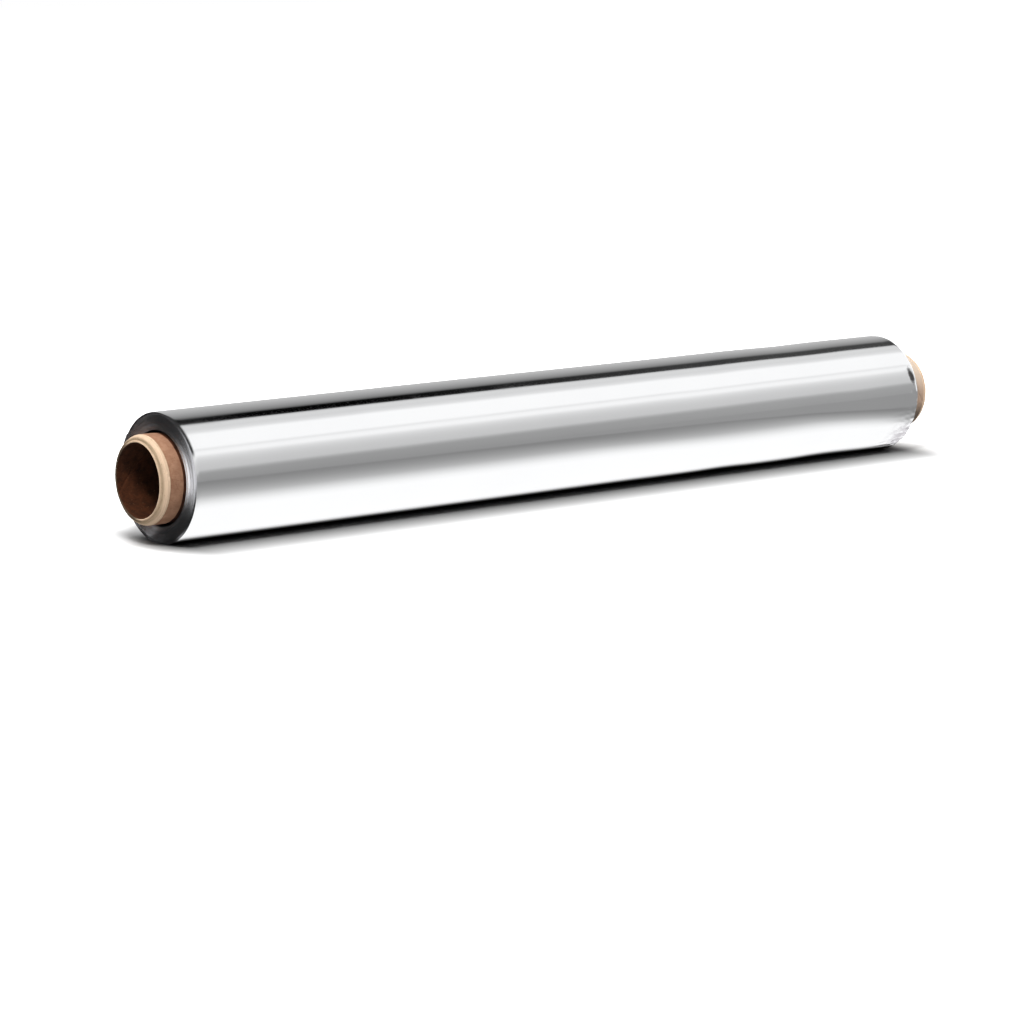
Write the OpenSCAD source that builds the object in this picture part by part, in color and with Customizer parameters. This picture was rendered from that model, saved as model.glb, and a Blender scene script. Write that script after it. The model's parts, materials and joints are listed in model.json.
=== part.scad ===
// Roll of aluminium kitchen foil, wound on a card tube that sticks out at both ends.
// It lies on its side: +X runs along the roll, +Z is up, and z = 0 is the surface under it.
// The origin is on that surface, below the middle of the tube. Sizes are in millimetres.

/* [Card core] */
// Bore of the card core
core_bore = 22.5; // [14:0.5:50]
// Wall of the card core
core_wall = 2.2; // [1:0.1:5]
// Flat ring left round the bore at each end of the core
core_rim = 0.4; // [0.1:0.1:0.8]
// How far back from its ends the core is rounded over
core_round = 2.6; // [0.5:0.1:5]
// Core that shows past the foil at the left end
core_past_left = 7.5; // [2:0.5:40]
// Core that shows past the foil at the right end
core_past_right = 12; // [2:0.5:40]

/* [Foil] */
// Width of the foil, along the roll
foil_width = 300; // [100:1:600]
// Thickness of the wound foil on the core
foil_build = 6.2; // [3:0.1:40]
// Depth of the flat spot that the roll lies on
flat_depth = 0.2; // [0.15:0.05:1]

/* [Turns] */
// Bands of turns that show on each end face
turn_bands = 9; // [3:2:15]
// How far every other band of turns sits back from the end face
turn_set_back = 0.3; // [0.05:0.05:1]
// Step down at the outer turn's free edge
free_edge_step = 0.3; // [0.1:0.05:1]
// Place of the free edge round the roll, from the back towards the top
free_edge_angle = 35; // [0:1:359]

/* [Hidden] */
$fn = 96;

core_r = core_bore / 2 + core_wall;
core_length = core_past_left + foil_width + core_past_right;

// The core's rounded end is an arc that leaves the side smoothly and meets the flat ring
round_width = core_wall - core_rim;
round_r = (round_width ^ 2 + core_round ^ 2) / (2 * round_width);

foil_r = core_r + foil_build;
foil_middle = (core_past_left - core_past_right) / 2;
band_build = (foil_build + 2 * free_edge_step) / turn_bands;
axis_height = foil_r - flat_depth;

// The outer turn is two half circles: the second one's centre sits off the axis by this much
turn_offset = free_edge_step / 2;

// Radius where a band of turns begins, counted outwards from the core
function band_start(band) = core_r + band * band_build;

// Half the foil's width at a band: odd bands sit back, the outer ones more than the inner ones
function band_reach(band) = foil_width / 2 - turn_set_back * (band % 2) * (1 + band / turn_bands) / 2;

// Lays what was drawn along +Z on its side, so that it runs along +X on the roll's axis
module along_roll() {
    translate([0, 0, axis_height])
        rotate([90, 0, 90])
            children();
}

// Outline of half the core's wall, with the outer corner of its end rounded over
module half_core_outline() {
    translate([core_bore / 2, 0]) {
        square([core_wall, core_length / 2 - core_round]);
        square([core_rim, core_length / 2]);
    }
    intersection() {
        translate([core_bore / 2, 0])
            square([core_wall, core_length / 2]);
        translate([core_r - round_r, core_length / 2 - core_round])
            circle(r = round_r);
    }
}

module card_core() {
    color("burlywood")
        along_roll()
            rotate_extrude() {
                half_core_outline();
                mirror([0, 1])
                    half_core_outline();
            }
}

// Stepped outline of the foil's section: every band of turns ends at its own reach
module foil_section() {
    right_steps = [
        for (band = [0 : turn_bands - 1], edge = [0, 1])
            [band_start(band + edge), band_reach(band)]
    ];
    left_steps = [
        for (step = [len(right_steps) - 1 : -1 : 0])
            [right_steps[step][0], -right_steps[step][1]]
    ];
    polygon(concat(right_steps, left_steps));
}

// Cross-section of the roll: the outer turn grows by half a step at a time up to its free edge
module outer_turn() {
    span = 4 * foil_r;
    rotate(free_edge_angle) {
        intersection() {
            circle(r = foil_r);
            translate([-span / 2, 0])
                square([span, span]);
        }
        intersection() {
            translate([turn_offset, 0])
                circle(r = foil_r + turn_offset);
            translate([-span / 2, -span])
                square([span, span]);
        }
    }
}

module wound_foil() {
    color("silver")
        difference() {
            translate([foil_middle, 0, 0])
                along_roll()
                    intersection() {
                        rotate_extrude()
                            foil_section();
                        linear_extrude(2 * foil_width, center = true)
                            outer_turn();
                    }
            translate([-core_length, -foil_r, -foil_r])
                cube([2 * core_length, 2 * foil_r, foil_r]);
        }
}

card_core();
wound_foil();
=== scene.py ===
"""Looks of a roll of aluminium foil on its card core, lying on its side.

All lengths are in metres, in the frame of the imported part: +X runs along the roll, +Z is up, and z = 0 is
the surface that the roll lies on. The wound foil and the card core are surfaces worked out as whole arrays,
and each stands for the solid of the same name.
"""

import json
from functools import partial
from math import pi, radians

import bpy
import numpy as np
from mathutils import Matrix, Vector


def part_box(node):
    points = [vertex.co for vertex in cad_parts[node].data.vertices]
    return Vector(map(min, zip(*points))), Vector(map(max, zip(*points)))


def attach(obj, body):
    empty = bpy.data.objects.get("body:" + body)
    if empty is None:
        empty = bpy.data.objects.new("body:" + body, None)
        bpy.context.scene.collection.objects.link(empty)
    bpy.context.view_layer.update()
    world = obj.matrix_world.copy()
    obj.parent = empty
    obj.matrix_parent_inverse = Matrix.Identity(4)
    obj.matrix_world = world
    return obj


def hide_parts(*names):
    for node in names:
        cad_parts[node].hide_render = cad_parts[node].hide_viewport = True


bl_info = {
    "name": "Foil Roll",
    "version": (1, 0, 0),
    "blender": (4, 5, 0),
    "location": "View3D > Sidebar > Foil Roll",
    "description": "Makes a roll of aluminium foil on its card core, with its studio",
    "category": "Add Mesh",
}

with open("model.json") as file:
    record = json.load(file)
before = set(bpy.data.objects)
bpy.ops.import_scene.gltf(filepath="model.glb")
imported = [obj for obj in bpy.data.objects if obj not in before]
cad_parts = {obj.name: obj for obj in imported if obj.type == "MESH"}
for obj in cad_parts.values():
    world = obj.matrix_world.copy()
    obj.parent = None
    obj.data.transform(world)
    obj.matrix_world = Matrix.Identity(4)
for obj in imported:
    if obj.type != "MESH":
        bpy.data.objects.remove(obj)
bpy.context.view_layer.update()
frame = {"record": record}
MM = 0.001
WHITE = (1.0, 1.0, 1.0, 1.0)

MOUNTS = {mount["name"]: mount for mount in frame["record"]["mounts"]}
CORE_LOW, CORE_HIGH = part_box("card_core")
FOIL_LOW, FOIL_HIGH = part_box("wound_foil")
AXIS_HEIGHT = MOUNTS["core_bore"]["pos_m"][2]
BORE_R = MOUNTS["core_bore"]["dims"]["r_mm"] * MM
CORE_R = (CORE_HIGH.z - CORE_LOW.z) / 2
FOIL_R = FOIL_HIGH.z - AXIS_HEIGHT


# Meshes


def tube_mesh(name, points, row_materials, sharp_rows=(), sharp_columns=(), flat_material=None):
    """Closed skin over a grid of points that joins up with itself both ways, as the skin of a tube does.

    Point (i, j) joins (i + 1, j) and (i, j + 1). Rows run along the outside towards +X and back through the
    bore, and columns run round from +Y to +Z, so the faces point out of the material.
    """
    rows, columns = points.shape[:2]
    row, column = np.meshgrid(np.arange(rows), np.arange(columns), indexing="ij")
    next_row, next_column = (row + 1) % rows, (column + 1) % columns
    corners = [(row, column), (row, next_column), (next_row, next_column), (next_row, column)]
    faces = np.stack([i * columns + j for i, j in corners], axis=-1).reshape(-1, 4)
    mesh = bpy.data.meshes.new(name)
    mesh.from_pydata(points.reshape(-1, 3), [], faces)
    materials = np.repeat(row_materials, columns).astype(np.int32)
    mesh.polygons.foreach_set("material_index", materials)
    mesh.polygons.foreach_set("use_smooth", materials != flat_material)
    ends = np.zeros(len(mesh.edges) * 2, np.int32)
    mesh.edges.foreach_get("vertices", ends)
    end_row, end_column = np.divmod(ends.reshape(-1, 2), columns)
    along_row = end_row[:, 0] == end_row[:, 1]
    along_column = end_column[:, 0] == end_column[:, 1]
    sharp = along_row & np.isin(end_row[:, 0], sharp_rows)
    sharp |= along_column & np.isin(end_column[:, 0], sharp_columns)
    attribute = mesh.attributes.new("sharp_edge", "BOOLEAN", "EDGE")
    attribute.data.foreach_set("value", sharp)
    mesh.update()
    return mesh


def add_piece(name, mesh, node, materials):
    """An object at the origin that stands for a CAD node, rides with the roll and has its materials."""
    piece = bpy.data.objects.new(name, mesh)
    bpy.context.scene.collection.objects.link(piece)
    for material in materials:
        mesh.materials.append(material)
    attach(piece, "root")
    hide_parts(node)
    return piece


def smooth_step(low, high, value):
    """0 below low, 1 above high, and a smooth cubic ramp between them."""
    share = np.clip((value - low) / (high - low), 0, 1)
    return share * share * (3 - 2 * share)


def random_waves(seed, along, around, shortest, longest, most_lobes, count=24):
    """Sum of cosine waves of random direction and phase, along the roll and round it, with a spread of 1.

    Each wave is cos(along / length * 2 pi + around * lobes + phase), and has a whole number of lobes round
    the roll.
    """
    rng = np.random.default_rng(seed)
    total = 0
    for _ in range(count):
        length = rng.uniform(shortest, longest)
        lobes = rng.integers(-most_lobes, most_lobes + 1)
        total = total + np.cos(2 * pi * along / length + lobes * around + rng.uniform(0, 2 * pi))
    return total / np.sqrt(count / 2)


def around_axis(along, radius, angle):
    """Points at a place along the roll, a distance from its axis and an angle from +Y towards +Z."""
    along, radius, angle = np.broadcast_arrays(along, radius, angle)
    return np.stack([along, radius * np.cos(angle), AXIS_HEIGHT + radius * np.sin(angle)], axis=-1)


def bump_at(value, middle, width):
    """A smooth bump of height 1 about a middle."""
    return np.exp(-(((value - middle) / width) ** 2))


def turned_from(angle, middle):
    """Angle from a middle, between half a turn back and half a turn on."""
    return (angle - middle + pi) % (2 * pi) - pi


def rim_mark(angle, from_rim, degrees, spread, inset, width):
    """A smooth mark of height 1 by a rim, by its middle and half width round the roll and in from the rim."""
    return bump_at(turned_from(angle, radians(degrees)), 0, radians(spread)) * bump_at(from_rim, inset, width)


def foil_dents(foil, along, angle, from_left, from_right):
    """How far the outside of the foil sinks in.

    It has long soft waves, nicks in both rims and a looser right part with a long dent low on its front. At
    the right rim there are a crumpled place, a small dent and a short crease. Both rims are rounded off.
    """
    looser = smooth_step(0.16, 0.04, from_right)
    soft = random_waves(3, along, angle, 0.05, 0.4, 3) * foil.soft_dents
    loose = random_waves(8, along, angle, 0.03, 0.09, 5) * foil.loose_dents * looser
    nicks = random_waves(21, along, angle, 0.004, 0.012, 30, 40) * foil.rim_nicks
    nicks = nicks * (smooth_step(0.006, 0, from_right) + foil.left_nicks * smooth_step(0.004, 0, from_left))
    waves = soft + loose + nicks
    dents = 0.5 * np.abs(waves) - waves
    dents = dents + foil.side_dent * looser * bump_at(turned_from(angle, radians(205)), 0, radians(15))

    crumple = np.abs(random_waves(33, along, angle, 0.003, 0.012, 40, 30))
    dents = dents + foil.corner_crumple * crumple * rim_mark(angle, from_right, 225, 22, 0, 8 * MM)
    dents = dents + foil.rim_dent * rim_mark(angle, from_right, 158, 6, 1.8 * MM, 1 * MM)
    dents = dents + foil.crease * rim_mark(angle, from_right, 183, 1.3, 0, 7 * MM)
    for distance, drop in ((from_left, foil.rim_round), (from_right, 1.5 * foil.rim_round)):
        dents = dents + drop * np.clip(1 - distance / foil.rim_width, 0, 1) ** 2
    return dents


def end_face_points(foil, rng, sign, angle, rim):
    """Rings of the left (-1) or right (+1) end face, from the core out to the rim's radii.

    Each ring slopes back outwards and steps up again. There is a gap at the core and a groove by the rim.
    """
    out = 1 - (np.arange(foil.rings)[:, None] + (0.25, 1.0)).reshape(-1, 1) / foil.rings
    from_core = out * (FOIL_R - CORE_R)
    from_rim = (FOIL_R - CORE_R) - from_core
    ridge = np.tile([[1.0], [0.0]], (foil.rings, 1)) * foil.ring_depth
    ridge = ridge * rng.uniform(0.75, 1.25, ridge.shape)
    drift = foil.telescoping * (0.5 - 0.5 * np.cos(2 * pi * (1.3 * out + rng.random())))
    wander = 0.1 * foil.ring_depth * random_waves(30 + sign, out * 0.01, angle, 0.002, 0.006, 7)
    gap = foil.core_gap * smooth_step(foil.core_gap_width, 0.6 * foil.core_gap_width, from_core)
    grooves = gap + foil.rim_groove * bump_at(from_rim, 0.3 * MM, 0.3 * MM)
    end = FOIL_LOW.x if sign < 0 else FOIL_HIGH.x
    at = end - sign * np.maximum(ridge + drift + wander + grooves, 0)
    return around_axis(at, CORE_R + out * (rim[None, :] - CORE_R), angle)


def foil_points(foil):
    """Grid of points over the wound foil, the material of each row, and the rows and columns of its edges.

    The radius is that of a coil whose outer turn grows by the step at its free edge, less soft dents. Where
    the coil would reach below the surface under it, it is flat.
    """
    edge = foil.free_edge_angle
    columns = 360
    angle = edge + np.linspace(0, 2 * pi, columns)[None, :]
    turn = angle - edge
    coil_r = FOIL_R + foil.edge_step / 2 * np.where(turn > pi, 1 + np.cos(turn), 0)

    width = FOIL_HIGH.x - FOIL_LOW.x
    near_rim = 0.007
    by_rim = near_rim * np.linspace(0, 1, 13) ** 2
    between = np.linspace(near_rim, width - near_rim, 100)[1:-1]
    along = np.concatenate([by_rim, between, width - by_rim[::-1]])[:, None]
    dents = foil_dents(foil, along + FOIL_LOW.x, angle, along, width - along)
    low_side = 1 - bump_at(turned_from(angle, -pi / 2), 0, radians(16))
    curl = foil.edge_curl * (0.6 + 0.4 * random_waves(5, along, 0 * angle, 0.04, 0.2, 0, 8))
    curl = curl * bump_at((2 * pi - turn) * FOIL_R, 0, foil.curl_width)
    curl = curl * smooth_step(0.001, 0.02, np.minimum(along, width - along))
    radius = coil_r - dents * low_side + curl
    skin = around_axis(along + FOIL_LOW.x, radius, angle)

    rng = np.random.default_rng(14)
    left = end_face_points(foil, rng, -1, angle, radius[0])
    right = end_face_points(foil, rng, 1, angle, radius[-1])
    points = np.concatenate([left[::-1], skin, right])
    points[..., 2] = np.maximum(points[..., 2], 0)
    row_materials = np.repeat([1, 0, 1], (len(left), len(skin) - 1, len(right) + 1))
    rims = (len(left), len(left) + len(skin) - 1)
    return points, row_materials, rims, (0, columns - 1)


def core_end(core, half):
    """Section of one end of the core's wall, from its side over the rounding and the flat ring into the bore.

    The rounding is an arc that leaves the side smoothly and meets the ring. It has a hollow and ply lines.
    """
    wall = CORE_R - BORE_R
    reach = half - core.round_length
    round_width = wall - core.rim
    round_r = (round_width**2 + core.round_length**2) / (2 * round_width)
    turn = np.linspace(0, np.arcsin(core.round_length / round_r), 43)[1:]
    across = np.stack([np.sin(turn), np.cos(turn)], axis=-1)
    arc = (reach, CORE_R - round_r) + round_r * across
    share = (CORE_R - arc[:, 1:]) / wall
    seam = bump_at((share * core.plies + 0.5) % 1, 0.5, 0.16) * smooth_step(0, 0.1, share)
    arc = arc - across * (core.ply_groove * seam + core.end_valley * bump_at(share, 0.62, 0.13))

    mouth = core.mouth_round
    flat = np.linspace(BORE_R + core.rim, BORE_R + mouth, 4)[1:-1]
    flat = np.stack([np.full(len(flat), half), flat], axis=-1)
    turn = np.linspace(0, pi / 2, 6)
    corner = np.stack([np.cos(turn), -np.sin(turn)], axis=-1)
    return np.concatenate([arc, flat, (half - mouth, BORE_R + mouth) + mouth * corner])


def core_points(core):
    """Grid of points over the card core, and the material of each row: its side, its cut ends, or dark card
    with painted shade.

    The rows follow a section of the wall: along the outside, over one end, back through the bore, and over
    the other end. The columns twist along the core, so that the seams of the outer and the inner ply, which
    wind round it, each lie along a column. Where the foil covers the card and just past that, it has the
    bore's dark card as painted shade in the gap by the foil.
    """
    half = (CORE_HIGH.x - CORE_LOW.x) / 2
    reach = half - core.round_length
    # Painted shade: the dark bore card runs past the foil's ends into the gap by the foil
    gap_shade_from = FOIL_LOW.x - core.gap_shade_edge
    gap_shade_to = FOIL_HIGH.x + core.gap_shade_edge
    left = np.linspace(-reach, gap_shade_from, 12)[:-1]
    covered = np.linspace(gap_shade_from, gap_shade_to, 130)[:-1]
    right = np.linspace(gap_shade_to, reach, 16)
    steps = np.concatenate([left, covered, right])
    outside = np.stack([steps, np.full(len(steps), CORE_R)], axis=-1)
    end = core_end(core, half)
    back = np.linspace(half - core.mouth_round, core.mouth_round - half, 140)[1:-1]
    bore = np.stack([back, np.full(len(back), BORE_R)], axis=-1)
    profile = np.concatenate([outside, end, bore, (end * (-1, 1))[::-1]])
    rows = (len(left), len(covered), len(right), len(end), len(bore), len(end))
    row_materials = np.repeat([0, 2, 0, 1, 2, 1], rows)

    at, radius = profile[:, :1], profile[:, 1:]
    column = np.linspace(0, 2 * pi, 145)[None, :-1]
    column = column - 0.28 * np.sin(column * 2)
    angle = column + 2 * pi * at / core.winding_pitch
    seam_width = core.seam_width / CORE_R
    outward = smooth_step(BORE_R, CORE_R, radius)
    outer_seam = bump_at(turned_from(column, 0), 0, seam_width) * outward
    inner_seam = bump_at(turned_from(column, pi), 0, seam_width) * (1 - outward)
    free = smooth_step(0.001, -0.001, np.minimum(at - FOIL_LOW.x, FOIL_HIGH.x - at))
    lumps = random_waves(12, at, angle, 0.01, 0.05, 6) * core.lumps * outward * free
    neck = core.neck * bump_at(np.abs(at), reach - 0.5 * MM, 0.45 * MM) * outward
    new_radius = radius + core.seam_depth * (inner_seam - outer_seam) + lumps - np.abs(lumps) - neck
    ragged = random_waves(17, radius, angle, 0.0008, 0.003, 16, 40)
    ragged = np.abs(ragged) * core.end_roughness * smooth_step(reach, half, np.abs(at))
    return around_axis(at - ragged * np.sign(at), new_radius, angle), row_materials


# Materials


class Value:
    """An output socket. Sums and products of it add Math nodes to its tree."""

    def __init__(self, tree, socket):
        self.tree = tree
        self.socket = socket

    def math(self, operation, *others):
        inputs = {0: self, **{i + 1: other for i, other in enumerate(others)}}
        return self.tree.add("ShaderNodeMath", inputs, operation=operation)

    def __add__(self, other):
        return self.math("ADD", other)

    def __sub__(self, other):
        return self.math("SUBTRACT", other)

    def __rsub__(self, other):
        return self.tree.add("ShaderNodeMath", {0: other, 1: self}, operation="SUBTRACT")

    def __mul__(self, other):
        return self.math("MULTIPLY", other)

    def __truediv__(self, other):
        return self.math("DIVIDE", other)

    __radd__ = __add__
    __rmul__ = __mul__


class Tree:
    """A node tree that is being built."""

    def __init__(self, node_tree):
        self.nodes = node_tree.nodes
        self.links = node_tree.links
        self.nodes.clear()

    def add(self, kind, inputs=None, output=0, stops=None, **settings):
        """Adds a node: its settings and ramp stops first, then the values or links of its sockets."""
        node = self.nodes.new(kind)
        for name, value in settings.items():
            setattr(node, name, value)
        if stops:
            ramp = node.color_ramp
            while len(ramp.elements) < len(stops):
                ramp.elements.new(1.0)
            for element, (place, colour) in zip(ramp.elements, stops):
                element.position = place
                element.color = colour
        for name, value in (inputs or {}).items():
            if isinstance(value, Value):
                self.links.new(value.socket, node.inputs[name])
            else:
                node.inputs[name].default_value = value
        return Value(self, node.outputs[output]) if len(node.outputs) else node

    def mix(self, share, low, high):
        """Colour that goes from low to high as share goes from 0 to 1."""
        return self.add("ShaderNodeMix", {0: share, 6: low, 7: high}, 2, data_type="RGBA")

    def parts(self, vector):
        """The X, Y and Z of a vector."""
        split = self.add("ShaderNodeSeparateXYZ", {0: vector})
        return [Value(self, socket) for socket in split.socket.node.outputs]

    def noise(self, vector, scale, detail=3.0, roughness=0.55):
        """Noise from 0 to 1 over a vector."""
        inputs = {"Vector": vector, "Scale": scale, "Detail": detail, "Roughness": roughness}
        return self.add("ShaderNodeTexNoise", inputs)

    def stretched(self, vector, scale):
        """A vector with each of its parts scaled by itself."""
        return self.add("ShaderNodeMapping", {"Vector": vector, "Scale": scale})

    def ramp(self, value, low, high):
        """0 where value is below low, 1 above high, and smooth between them."""
        inputs = {0: value, 1: low, 2: high}
        return self.add("ShaderNodeMapRange", inputs, interpolation_type="SMOOTHSTEP")


def new_material(name):
    """An empty node material, and its tree with the object's own coordinates."""
    material = bpy.data.materials.new(name)
    material.use_nodes = True
    tree = Tree(material.node_tree)
    place = tree.add("ShaderNodeTexCoord", output="Object")
    return material, tree, place


def finish_surface(tree, bump_height, bump_distance, **sockets):
    """Ends a tree in one Principled surface, with a bump of the given height."""
    bump = tree.add("ShaderNodeBump", {"Height": bump_height, "Distance": bump_distance, "Strength": 1.0})
    inputs = {name.replace("_", " "): value for name, value in sockets.items()}
    surface = tree.add("ShaderNodeBsdfPrincipled", {**inputs, "Normal": bump})
    tree.add("ShaderNodeOutputMaterial", {"Surface": surface})


def distance_from_axis(tree, place):
    """Distance of a point from the roll's axis."""
    _, across, up = tree.parts(place)
    up = up - AXIS_HEIGHT
    return (across * across + up * up).math("SQRT")


# The painted shade in the dent of the right rim: its middle, its half sizes and how far it leans over for
# each unit up
DENT_SHADE_INSET = 1.878 * MM
DENT_SHADE_HEIGHT = AXIS_HEIGHT + 0.375 * FOIL_R
DENT_SHADE_HALF_WIDTH = 1.1 * MM
DENT_SHADE_HALF_HEIGHT = 2.6 * MM
DENT_SHADE_LEAN = 0.12


def right_rim_painted_shade(tree, place, wrinkles):
    """Two painted shades on the front of the foil at its right rim: a grey one on the crumple low down, and a
    dark one in the dent above it.
    """
    along, across, up = tree.parts(place)
    inset = FOIL_HIGH.x - along
    front = tree.ramp(across * -1, 0.25 * FOIL_R, 0.5 * FOIL_R)
    # Painted shade: the crumple low at the right rim is painted grey, and it is also made duller
    painted_light_patch = tree.ramp(inset, 12 * MM, 2 * MM) * front * tree.ramp(up, 13 * MM, 7 * MM)
    # Painted shade: a dark oval in the dent at the right rim
    above = up - DENT_SHADE_HEIGHT
    aside = (DENT_SHADE_INSET - inset + above * DENT_SHADE_LEAN) / DENT_SHADE_HALF_WIDTH
    above = above / DENT_SHADE_HALF_HEIGHT
    spread = aside * aside + above * above + 2.4 * (wrinkles - 0.5)
    dent_shade = (1 - tree.ramp(spread, 0.2, 1.7)) * front
    return painted_light_patch, dent_shade


def bright_foil(look):
    """Foil's bright side: near mirror, with fine rolling lines round the roll, smudges, and the painted
    shades at its right rim.
    """
    material, tree, place = new_material("bright_foil")
    lines = tree.noise(tree.stretched(place, (900, 14, 14)), 1.0, 4.0, 0.65)
    smudges = tree.noise(place, 38.0, 3.0)
    wrinkles = tree.noise(tree.stretched(place, (260, 500, 500)), 1.0, 3.0)
    painted_light_patch, dent_shade = right_rim_painted_shade(tree, place, wrinkles)
    colour = tree.mix(smudges, look.foil_dark, look.foil_colour)
    # Painted shade at the right rim: grey on the crumple, near black in the dent
    colour = tree.mix(painted_light_patch * tree.ramp(wrinkles, 0.3, 0.6), colour, look.foil_crumple_shade)
    colour = tree.mix(dent_shade * 0.95, colour, look.foil_dent_shade)
    dull = 0.05 * (lines - 0.5) + 0.06 * tree.ramp(smudges, 0.5, 0.75) + 0.1 * painted_light_patch
    roughness = look.foil_roughness + dull
    finish_surface(tree, lines, look.line_depth, Base_Color=colour, Roughness=roughness, Metallic=1.0)
    return material


def foil_edges(look):
    """Edges of the turns: a stack of thin bright edges, some a little duller than others, with painted shade
    on the first turns in the gap round the core.
    """
    material, tree, place = new_material("foil_edges")
    radius = distance_from_axis(tree, place)
    fine = tree.add("ShaderNodeTexNoise", {"W": radius * 9000, "Detail": 3.0}, noise_dimensions="1D")
    broad = tree.add("ShaderNodeTexNoise", {"W": radius * 1400, "Detail": 2.0}, noise_dimensions="1D")
    outer = tree.ramp(radius, CORE_R + 1.8 * MM, CORE_R + 3.2 * MM)
    bright = tree.ramp(fine * 0.5 + broad * 0.5, 0.3, 0.7) * (1 - 0.7 * outer)
    colour = tree.mix(bright, look.edge_dark, look.edge_colour)
    # Painted shade: the first turns in the gap round the core are near black
    colour = tree.mix(tree.ramp(radius, CORE_R + 0.5 * MM, CORE_R + 0.95 * MM), look.edge_gap_shade, colour)
    metal = {"Roughness": look.edge_roughness, "Metallic": 1.0}
    finish_surface(tree, fine, look.edge_depth, Base_Color=colour, **metal)
    return material


# Painted shade on card: its colour as a share of the card's
PAINTED_SHADE_SHARE = 0.14


def in_painted_shade(colour):
    """A card's colour where it has painted shade."""
    return (*(PAINTED_SHADE_SHARE * part for part in colour[:3]), 1.0)


def blotched_radius(tree, place, blotches):
    """Distance from the roll's axis, a little more or less in the blotches of the card."""
    return distance_from_axis(tree, place) + 0.2 * MM * (blotches - 0.5)


def with_end_shading(tree, place, colour, blotches, hollow):
    """A cut end's colour, with painted shade in the hollow between the bore and the rounding, and on one side
    of the ring by the bore.
    """
    radius = blotched_radius(tree, place, blotches)
    from_hollow = (radius - (BORE_R + 1.0 * MM)).math("ABSOLUTE")
    # Painted shade in the hollow between the bore and the rounding
    hollow_shade = (1 - tree.ramp(from_hollow, 0.2 * MM, 0.75 * MM)) * (0.5 + 0.5 * blotches)
    colour = tree.mix(hollow_shade, colour, hollow)
    _, across, up = tree.parts(place)
    # Painted shade: the ring by the bore is darker on one side, towards +Y and down
    towards = (across * 0.97 - (up - AXIS_HEIGHT) * 0.26) / radius + 0.3 * (blotches - 0.5)
    by_bore = 1 - tree.ramp(radius, BORE_R + 0.7 * MM, BORE_R + 1.3 * MM)
    return tree.mix(tree.ramp(towards, 0.1, 0.5) * by_bore * 0.92, colour, in_painted_shade(hollow))


def with_painted_end_light(tree, place, colour, blotches, painted_light_patch):
    """The side's colour, with a painted highlight near the right end, most of all on top, and painted shade
    low on its front.
    """
    along, across, up = tree.parts(place)
    blotched = along + 2.0 * MM * (blotches - 0.5)
    near = tree.ramp(blotched, CORE_HIGH.x - 9.5 * MM, CORE_HIGH.x - 6.0 * MM)
    high = tree.ramp(up, AXIS_HEIGHT - 0.1 * CORE_R, AXIS_HEIGHT + 0.6 * CORE_R)
    # Painted highlight: paler near the right end, most of all on top, as if lit from above
    colour = tree.mix(near * (0.4 + 0.4 * high), colour, painted_light_patch)
    low = tree.ramp(up, AXIS_HEIGHT - 0.15 * CORE_R, AXIS_HEIGHT - 0.6 * CORE_R)
    front = tree.ramp(across, 0.0, -0.3 * CORE_R)
    # Painted shade: darker low on the front near the right end
    return tree.mix(near * low * front * 0.85, colour, in_painted_shade(painted_light_patch))


def card(name, light, dark, speck, bump_distance, roughness, plies=0.0, painted_light=None):
    """Card: soft blotches, fibres that run every way, dark specks and, on a cut end, the lines of its plies.

    Plies is how much those lines count against the blotches and fibres, and 0 is for uncut card. Painted
    light is a function that adds the painted light and shade of one place to the colour.
    """
    material, tree, place = new_material(name)
    blotches = tree.noise(place, 420.0, 4.0)
    fibres = tree.noise(tree.stretched(place, (900, 2600, 2600)), 1.0, 5.0, 0.7)
    shade = blotches * 0.6 + fibres * 0.4
    if plies:
        inputs = {"W": blotched_radius(tree, place, blotches) * 2600, "Detail": 2.0}
        bands = tree.add("ShaderNodeTexNoise", inputs, noise_dimensions="1D")
        shade = shade * (1 - plies) + bands * plies
    colour = tree.mix(tree.ramp(shade, 0.3, 0.7), dark, light)
    if painted_light:
        colour = painted_light(tree, place, colour, blotches)
    specks = tree.ramp(tree.noise(place, 1900.0, 2.0), 0.66, 0.72)
    colour = tree.mix(specks * 0.6, colour, speck)
    card_gloss = {"Roughness": roughness, "Specular_IOR_Level": 0.2}
    finish_surface(tree, fibres, bump_distance, Base_Color=colour, **card_gloss)
    return material


# Studio

# Brightness that the foil's side sees round its axis, by the angle above the front horizon, over the top
# and down behind
STUDIO_BANDS = (
    (0, 0.32), (12, 0.35), (15, 0.42), (19, 0.60), (28, 0.63), (34, 0.68), (40, 0.78), (46, 1.02), (51, 1.0),
    (54, 0.87), (58, 1.06), (85, 1.06), (90, 0.82), (97, 0.72), (105, 0.76), (109, 0.62), (110.5, 0.0),
    (124.5, 0.0), (127, 0.12), (132, 0.25), (144, 0.38), (158, 0.48), (180, 0.6),
)

# The same on the floor, by how far it is below the horizon as seen from the axis
FLOOR_BANDS = (
    (0, 0.32), (4, 0.25), (8, 0.28), (11, 0.31), (15, 0.36), (19, 0.44), (22, 0.52), (25, 0.68), (28, 0.84),
    (32, 1.02), (36, 1.1), (63, 1.1), (66, 0.8), (68, 0.35), (70, 0.06), (73, 0.0), (90, 0.0),
)

# The bands climb towards the right, by BAND_CLIMB for each unit that a direction's X is above SIDE_VIEW, its
# value at the middle of the picture
BAND_CLIMB = radians(44)
SIDE_VIEW = 0.634

# What the left end face mirrors, by the angle from straight left round to the back: the lit card starts, the
# dark card takes over from it, and the dark card ends. On the floor they start this far past the end.
CARD_START = (radians(-32), radians(-14))
CARD_CHANGE = (radians(10), radians(24))
CARD_END = (radians(70), radians(86))
CARD_AWAY = (0.035, 0.085)

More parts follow.
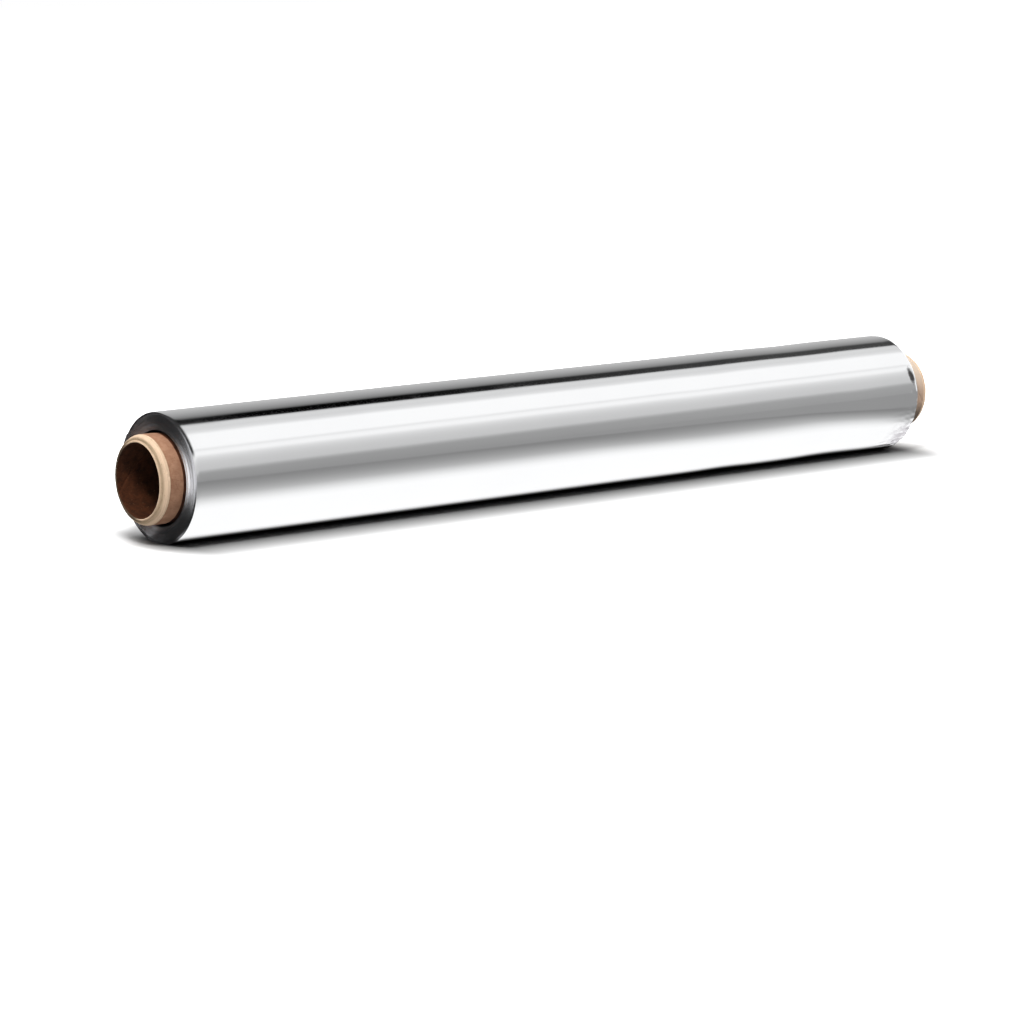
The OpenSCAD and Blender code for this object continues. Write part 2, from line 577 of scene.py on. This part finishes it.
# How far from the roll's middle line the floor's shade fades out, and its glow comes in. Past the two ends
# both are shorter by END_SQUEEZE.
SHADE_REACH = (0.003, 0.04)
GLOW_REACH = (0.02, 0.11)
END_SQUEEZE = 2.5


def grey(level):
    return (level, level, level, 1.0)


def band_ramp(tree, angle, bands, most):
    """Brightness from a list of bands, by an angle in radians."""
    stops = [(degrees / most, grey(level)) for degrees, level in bands]
    return tree.add("ShaderNodeValToRGB", {0: angle / radians(most)}, stops=stops)


def with_end_cards(tree, studio, look, away_left, behind, lit_share, dark_share):
    """Adds what the left end face mirrors to a look: a lit card to its left, and a dark card behind that."""
    round_left = behind.math("ARCTAN2", away_left)
    change = tree.ramp(round_left, *CARD_CHANGE)
    lit = tree.ramp(round_left, *CARD_START) * (1 - change)
    dark = change * (1 - tree.ramp(round_left, *CARD_END))
    look = tree.mix(lit * lit_share, look, grey(studio.end_bright))
    return tree.mix(dark * dark_share, look, grey(studio.end_dark))


def seen_by(tree):
    """Light Path: whether the camera looks straight here, sees it in metal, or sees it through glass."""
    outputs = tree.add("ShaderNodeLightPath").socket.node.outputs
    names = ("Is Camera Ray", "Is Glossy Ray", "Is Transmission Ray", "Diffuse Depth")
    camera, glossy, through, shading = (Value(tree, outputs[name]) for name in names)
    return camera, glossy * (1 - shading.math("MINIMUM", 1.0)), through


def mirrored_sky(tree, studio):
    """What metal sees above the horizon: bands round the roll's axis, and what is past its ends.

    Towards the right the bands are a little hazy, and give way to a plain white card. A dark card hangs high
    up, where the upper part of the left end mirrors it.
    """
    along, across, up = tree.parts(tree.add("ShaderNodeTexCoord", output="Generated"))
    angle = up.math("MAXIMUM", 0.0).math("ARCTAN2", across * -1)
    climbed = angle - BAND_CLIMB * (along - SIDE_VIEW).math("MAXIMUM", -0.2)
    bands = band_ramp(tree, climbed, STUDIO_BANDS, 180)
    bands = tree.mix(tree.ramp(along, 0.60, 0.72) * 0.06, bands, WHITE)
    lit_share = tree.ramp(up, 0.34, 0.14)
    dark_share = tree.ramp(up, 0.8, 0.6)
    look = with_end_cards(tree, studio, bands, along * -1, across, lit_share, dark_share)
    over_left = tree.ramp(along, 0.10, 0.25) * tree.ramp(along, 0.54, 0.42) * tree.ramp(up, 0.5, 0.7)
    look = tree.mix(over_left, look, grey(studio.end_dark))
    over_right = tree.ramp(along, 0.77, 0.84) * tree.ramp(along, 0.94, 0.88)
    return tree.mix(over_right, look, grey(studio.right_white))


def studio_world(studio):
    """Sky: plain white behind the object, soft for shading, and in bands where metal reflects it."""
    world = bpy.data.worlds.new("studio")
    bpy.context.scene.world = world
    world.use_nodes = True
    tree = Tree(world.node_tree)
    camera, glossy, through = seen_by(tree)
    colour = tree.mix(glossy, grey(studio.sky), mirrored_sky(tree, studio))
    colour = tree.mix(camera.math("MAXIMUM", through), colour, WHITE)
    background = tree.add("ShaderNodeBackground", {"Color": colour, "Strength": 1.0})
    tree.add("ShaderNodeOutputWorld", {"Surface": background})


def mirrored_floor(tree, studio, along, across):
    """What metal sees on the floor: bands beside the roll, and what is past its ends.

    Towards the right end the bands come nearer to the roll, in three steps.
    """
    aside = across.math("ABSOLUTE")
    below = tree.add("ShaderNodeMath", {0: AXIS_HEIGHT, 1: aside}, operation="ARCTAN2")
    nearer = tree.ramp(along, 0.02, 0.08) * radians(3.3) + tree.ramp(along, 0.12, 0.175) * radians(9)
    nearer = nearer + tree.ramp(along, 0.145, 0.2) * radians(17)
    nearer = nearer * (1 - tree.ramp(below, radians(38), radians(60)))
    bands = band_ramp(tree, below - nearer, FLOOR_BANDS, 90)

    past_left = FOIL_LOW.x - along
    past_right = along - FOIL_HIGH.x
    far_left = tree.ramp(past_left, *CARD_AWAY)
    by_left_end = tree.mix(far_left, grey(studio.end_dark), grey(studio.end_front))
    look = tree.mix(tree.ramp(past_left, 0.0, 0.004), bands, by_left_end)
    look = with_end_cards(tree, studio, look, past_left, across, far_left, far_left)
    by_right_end = tree.ramp(past_right, 0.045, 0.065) * tree.ramp(aside, 0.05, 0.03)
    return tree.mix(by_right_end, look, grey(studio.end_front))


def studio_floor(studio):
    """White floor that keeps the roll's shadow, darker right under the roll, and that metal sees in bands."""
    mesh = bpy.data.meshes.new("floor")
    size = 6.0
    corners = [(-size, -size, 0), (size, -size, 0), (size, size, 0), (-size, size, 0)]
    mesh.from_pydata(corners, [], [(0, 1, 2, 3)])
    floor = bpy.data.objects.new("floor", mesh)
    bpy.context.scene.collection.objects.link(floor)
    material, tree, place = new_material("floor")
    mesh.materials.append(material)
    along, across, _ = tree.parts(place)
    past_end = (along.math("ABSOLUTE") - FOIL_HIGH.x).math("MAXIMUM", 0.0) * END_SQUEEZE
    away = (past_end * past_end + across * across).math("SQRT")
    camera, glossy, _ = seen_by(tree)
    contact, clear = grey(studio.contact_shade), grey(studio.floor_white)
    in_picture = tree.mix(tree.ramp(away, *SHADE_REACH), contact, clear)
    colour = tree.mix(camera, grey(studio.floor_shade), in_picture)
    lit = tree.add("ShaderNodeBsdfDiffuse", {"Color": colour})
    lift = camera * tree.ramp(away, *GLOW_REACH) * studio.floor_lift
    glow = tree.add("ShaderNodeEmission", {"Color": WHITE, "Strength": lift})
    seen = tree.add("ShaderNodeAddShader", {0: lit, 1: glow})
    mirrored = mirrored_floor(tree, studio, along, across)
    reflected = tree.add("ShaderNodeEmission", {"Color": mirrored, "Strength": 1.0})
    both = tree.add("ShaderNodeMixShader", {0: glossy, 1: seen, 2: reflected})
    tree.add("ShaderNodeOutputMaterial", {"Surface": both})


def area_lamp(name, place, target, size, power):
    """A square lamp that points at a target, and that metal doesn't mirror."""
    lamp = bpy.data.lights.new(name, "AREA")
    lamp.size = size
    lamp.energy = power
    light = bpy.data.objects.new(name, lamp)
    bpy.context.scene.collection.objects.link(light)
    light.location = place
    towards = Vector(target) - light.location
    light.rotation_euler = towards.to_track_quat("-Z", "Y").to_euler()
    light.visible_camera = False
    light.visible_glossy = False


def studio_camera(studio):
    """Camera left of the roll and a little above it, level from side to side."""
    data = bpy.data.cameras.new("camera")
    data.lens = studio.lens
    data.clip_end = 20
    camera = bpy.data.objects.new("camera", data)
    bpy.context.scene.collection.objects.link(camera)
    camera.location = studio.camera_place
    camera.rotation_euler = (pi / 2 - studio.camera_dip, 0, -studio.camera_turn)
    bpy.context.scene.camera = camera


# Settings


def length(name, description, default):
    return bpy.props.FloatProperty(name=name, description=description, default=default, min=0, unit="LENGTH")


def amount(name, description, default):
    return bpy.props.FloatProperty(name=name, description=description, default=default, min=0)


def turned(name, description, default):
    settings = {"name": name, "description": description, "default": default}
    return bpy.props.FloatProperty(**settings, subtype="ANGLE")


def colour(name, description, default):
    settings = {"name": name, "description": description, "default": (*default, 1.0)}
    return bpy.props.FloatVectorProperty(**settings, size=4, min=0, soft_max=2, subtype="COLOR")


def count(name, description, default, low, high):
    settings = {"name": name, "description": description, "default": default}
    return bpy.props.IntProperty(**settings, min=low, max=high)


def spot(name, description, default):
    settings = {"name": name, "description": description, "default": default}
    return bpy.props.FloatVectorProperty(**settings, subtype="TRANSLATION")


class FoilSizes(bpy.types.PropertyGroup):
    """Sizes of the wound foil."""

    free_edge_angle: turned("Free edge", "Place of the free edge, from the back up", radians(35))
    edge_step: length("Edge step", "Step down at the free edge", 0.3 * MM)
    edge_curl: length("Edge curl", "How far the free edge lifts off the roll", 0.22 * MM)
    curl_width: length("Curl width", "How far round the roll the lift of the free edge reaches", 2.2 * MM)
    soft_dents: length("Soft dents", "Depth of the long, soft dents", 0.02 * MM)
    loose_dents: length("Loose dents", "Depth of the dents in the looser right part", 0.04 * MM)
    side_dent: length("Side dent", "Depth of the long dent low in the looser right part", 0.12 * MM)
    rim_nicks: length("Rim nicks", "Depth of the small nicks in the right rim", 0.03 * MM)
    left_nicks: amount("Left nicks", "Share of that depth that the nicks in the left rim have", 0.15)
    rim_round: length("Rim round", "How far the foil drops towards its left rim", 0.1 * MM)
    rim_width: length("Rim width", "Width over which the foil drops towards a rim", 1.2 * MM)
    rim_dent: length("Rim dent", "Depth of the dent in the right rim", 0.15 * MM)
    corner_crumple: length("Corner crumple", "Depth of the crumple low in the right rim", 0.3 * MM)
    crease: length("Crease", "Depth of the short crease at the right rim", 0.1 * MM)
    rings: count("Rings", "Rings on each end face", 28, 8, 45)
    ring_depth: length("Ring depth", "How far the rings sit in and out", 0.06 * MM)
    telescoping: length("Telescoping", "Slow drift of the turns along the roll", 0.06 * MM)
    core_gap: length("Core gap", "Depth of the gap where the foil meets the core", 3.0 * MM)
    core_gap_width: length("Core gap width", "Width of the gap where the foil meets the core", 0.9 * MM)
    rim_groove: length("Rim groove", "Depth of the groove just inside the rim", 0.2 * MM)


class CoreSizes(bpy.types.PropertyGroup):
    """Sizes of the card core."""

    rim: length("Flat ring", "Width of the flat ring round the bore", 0.4 * MM)
    round_length: length("Rounding", "How far back from its ends the core is rounded", 2.6 * MM)
    mouth_round: length("Mouth", "Radius of the edge of the bore", 0.3 * MM)
    plies: count("Plies", "Plies of card in the wall", 5, 2, 12)
    ply_groove: length("Ply groove", "Depth of the line between two plies", 0.06 * MM)
    end_valley: length("End valley", "Depth of the hollow round the bore's edge", 0.28 * MM)
    winding_pitch: length("Winding pitch", "Length of core for one turn of a ply", 62 * MM)
    seam_width: length("Seam width", "Width of the seam of a ply", 0.5 * MM)
    seam_depth: length("Seam depth", "Depth of the seam of a ply", 0.14 * MM)
    end_roughness: length("Cut", "Roughness of the ends", 0.05 * MM)
    lumps: length("Lumps", "Unevenness of the outer face", 0.04 * MM)
    neck: length("Neck", "Depth of the crease behind the rounded ends", 0.12 * MM)
    # Painted shade: the dark card under the foil that shows past it, in the gap
    gap_shade_edge: length("Dark edge", "How far the dark card under the foil shows past it", 0.35 * MM)


class Finishes(bpy.types.PropertyGroup):
    """Colours and finishes of the foil and the card."""

    foil_colour: colour("Foil", "Bright side of the foil", (0.93, 0.935, 0.94))
    foil_dark: colour("Foil smudge", "Slightly dull places on the foil", (0.88, 0.885, 0.895))
    # Painted shade: grey that stands in for the shade of the crumple low at the right rim
    foil_crumple_shade: colour("Worn foil", "Dull, wrinkled place low at the right rim", (0.56, 0.54, 0.57))
    # Painted shade: near black that stands in for the shade in the dent at the right rim
    foil_dent_shade: colour("Bruise", "Dark mark in the dent at the right rim", (0.05, 0.045, 0.045))
    foil_roughness: amount("Foil roughness", "Roughness of the bright side", 0.09)
    line_depth: length("Rolling lines", "Depth of the rolling lines", 0.0006 * MM)
    edge_colour: colour("Edges", "Edges of the turns", (0.8, 0.8, 0.82))
    edge_dark: colour("Edge gaps", "Duller edges among them", (0.44, 0.44, 0.46))
    # Painted shade: near black for the first turns in the gap round the core
    edge_gap_shade: colour("Edges by the core", "Dark first turns in the gap round the core", (0.03, 0.03, 0.03))
    edge_roughness: amount("Edge roughness", "Roughness of the edges of the turns", 0.26)
    edge_depth: length("Edge lines", "Depth of the fine lines on the end faces", 0.01 * MM)
    card_light: colour("Card", "Outer ply of the core", (0.41, 0.23, 0.145))
    card_dark: colour("Card shade", "Darker fibres of the outer ply", (0.27, 0.135, 0.08))
    # Painted highlight: the pale colour near the right end of the side, most of all on top
    card_painted_highlight: colour("Worn card", "Rubbed outer ply near the right end", (0.62, 0.52, 0.42))
    cut_light: colour("Cut card", "Cut end of the core", (0.8, 0.6, 0.43))
    cut_dark: colour("Cut card shade", "Darker places of the cut end", (0.56, 0.4, 0.27))
    # Painted shade: the colour in the hollow of the cut end, and the base of the painted shade on one side of
    # its ring
    cut_hollow_shade: colour("Hollow", "Hollow round the cut end", (0.3, 0.22, 0.14))
    # Dark inner ply, darkened further as painted shade of the deep bore; also the painted shade in the gap by
    # the foil
    shaded_bore_light: colour("Bore", "Inner ply of the core", (0.085, 0.029, 0.013))
    shaded_bore_dark: colour("Bore shade", "Darker fibres of the inner ply", (0.03, 0.012, 0.007))
    speck: colour("Specks", "Dark specks of recycled fibre", (0.16, 0.09, 0.05))


class StudioSettings(bpy.types.PropertyGroup):
    """Light, floor and camera."""

    sky: amount("Sky", "Even light from all round", 0.4)
    key_power: amount("Key lamp", "Power of the lamp above the left end, in watts", 5.7)
    top_power: amount("Top lamp", "Power of the lamp above and behind, in watts", 5.5)
    right_power: amount("Right lamp", "Power of the lamp above the right end, in watts", 2.2)
    floor_white: amount("Floor", "Whiteness of the floor in the picture", 1.0)
    contact_shade: amount("Contact shade", "Whiteness of the floor right under the roll", 0.03)
    floor_lift: amount("Floor lift", "Glow that keeps the far floor white in the picture", 0.7)
    floor_shade: amount("Floor light", "Whiteness of the floor as it lights the roll", 0.45)
    end_front: amount("Front", "Brightness of the far floor past the two ends, as they mirror it", 0.55)
    end_bright: amount("White card", "Brightness of the lit card that the left end mirrors", 1.7)
    end_dark: amount("Dark card", "Brightness of the dark card that the left end mirrors", 0.03)
    right_white: amount("Right card", "Brightness of the white card past the bands on the right", 1.1)
    lens: amount("Lens", "Focal length of the camera, in millimetres", 123.0)
    camera_place: spot("Camera", "Place of the camera", (-0.72265, -0.8412, 0.1783))
    camera_dip: turned("Dip", "How far the camera looks down", radians(9.48))
    camera_turn: turned("Turn", "How far the camera is turned to the right", radians(39.98))


class FOIL_OT_stage(bpy.types.Operator):
    """Makes the floor, the light and the camera"""

    bl_idname = "foil.stage"
    bl_label = "Stage"

    def execute(self, context):
        studio = context.scene.foil_studio
        context.scene.view_settings.view_transform = "Standard"
        left_end = (FOIL_LOW.x, 0, AXIS_HEIGHT)
        right_end = (FOIL_HIGH.x, 0, AXIS_HEIGHT)
        studio_camera(studio)
        studio_world(studio)
        studio_floor(studio)
        area_lamp("key_lamp", (-0.5, -0.39, 0.68), left_end, 0.2, studio.key_power)
        area_lamp("top_lamp", (-0.1, 0.35, 0.9), (0, 0, 0), 0.45, studio.top_power)
        area_lamp("right_lamp", (0.42, -0.3, 0.5), right_end, 0.12, studio.right_power)
        return {"FINISHED"}


class FOIL_OT_wound_foil(bpy.types.Operator):
    """Makes the wound foil, with its dents, its free edge and the rings of its end faces"""

    bl_idname = "foil.wound_foil"
    bl_label = "Wound foil"

    def execute(self, context):
        foil = context.scene.foil_sizes
        look = context.scene.foil_finishes
        points, row_materials, rims, edge_columns = foil_points(foil)
        mesh = tube_mesh("wound_foil_skin", points, row_materials, rims, edge_columns, flat_material=1)
        add_piece("wound_foil_skin", mesh, "wound_foil", [bright_foil(look), foil_edges(look)])
        return {"FINISHED"}


class FOIL_OT_card_core(bpy.types.Operator):
    """Makes the card core, with its rounded lips, plies and winding seams"""

    bl_idname = "foil.card_core"
    bl_label = "Card core"

    def execute(self, context):
        look = context.scene.foil_finishes
        mesh = tube_mesh("card_core_skin", *core_points(context.scene.foil_core))
        # Painted light on the card: highlight and shade near the right end of the side, and shade on the cut
        # ends
        painted_light_patch = partial(with_painted_end_light, painted_light_patch=look.card_painted_highlight)
        cut = {"plies": 0.75, "painted_light": partial(with_end_shading, hollow=look.cut_hollow_shade)}
        materials = [
            card("card_side", look.card_light, look.card_dark, look.speck, 0.03 * MM, 0.75, painted_light=painted_light_patch),
            card("card_cut", look.cut_light, look.cut_dark, look.speck, 0.06 * MM, 0.8, **cut),
            # Painted shade: the bore's dark card, also used in the gap by the foil
            card("card_bore_and_gap_shade", look.shaded_bore_light, look.shaded_bore_dark, look.speck, 0.04 * MM, 0.85),
        ]
        add_piece("card_core_skin", mesh, "card_core", materials)
        return {"FINISHED"}


class FOIL_PT_panel(bpy.types.Panel):
    """Lists the pieces of the foil roll"""

    bl_idname = "FOIL_PT_panel"
    bl_label = "Foil Roll"
    bl_space_type = "VIEW_3D"
    bl_region_type = "UI"
    bl_category = "Foil Roll"

    def draw(self, context):
        for operator in (FOIL_OT_card_core, FOIL_OT_wound_foil, FOIL_OT_stage):
            self.layout.operator(operator.bl_idname)


SETTINGS = {
    "foil_sizes": FoilSizes, "foil_core": CoreSizes, "foil_finishes": Finishes, "foil_studio": StudioSettings,
}
CLASSES = (*SETTINGS.values(), FOIL_OT_stage, FOIL_OT_card_core, FOIL_OT_wound_foil, FOIL_PT_panel)


def register():
    for part in CLASSES:
        bpy.utils.register_class(part)
    for name, group in SETTINGS.items():
        setattr(bpy.types.Scene, name, bpy.props.PointerProperty(type=group))


def unregister():
    for name in SETTINGS:
        delattr(bpy.types.Scene, name)
    for part in reversed(CLASSES):
        bpy.utils.unregister_class(part)


def main():
    register()
    bpy.ops.foil.stage()
    bpy.ops.foil.card_core()
    bpy.ops.foil.wound_foil()


if __name__ == "__main__":
    main()
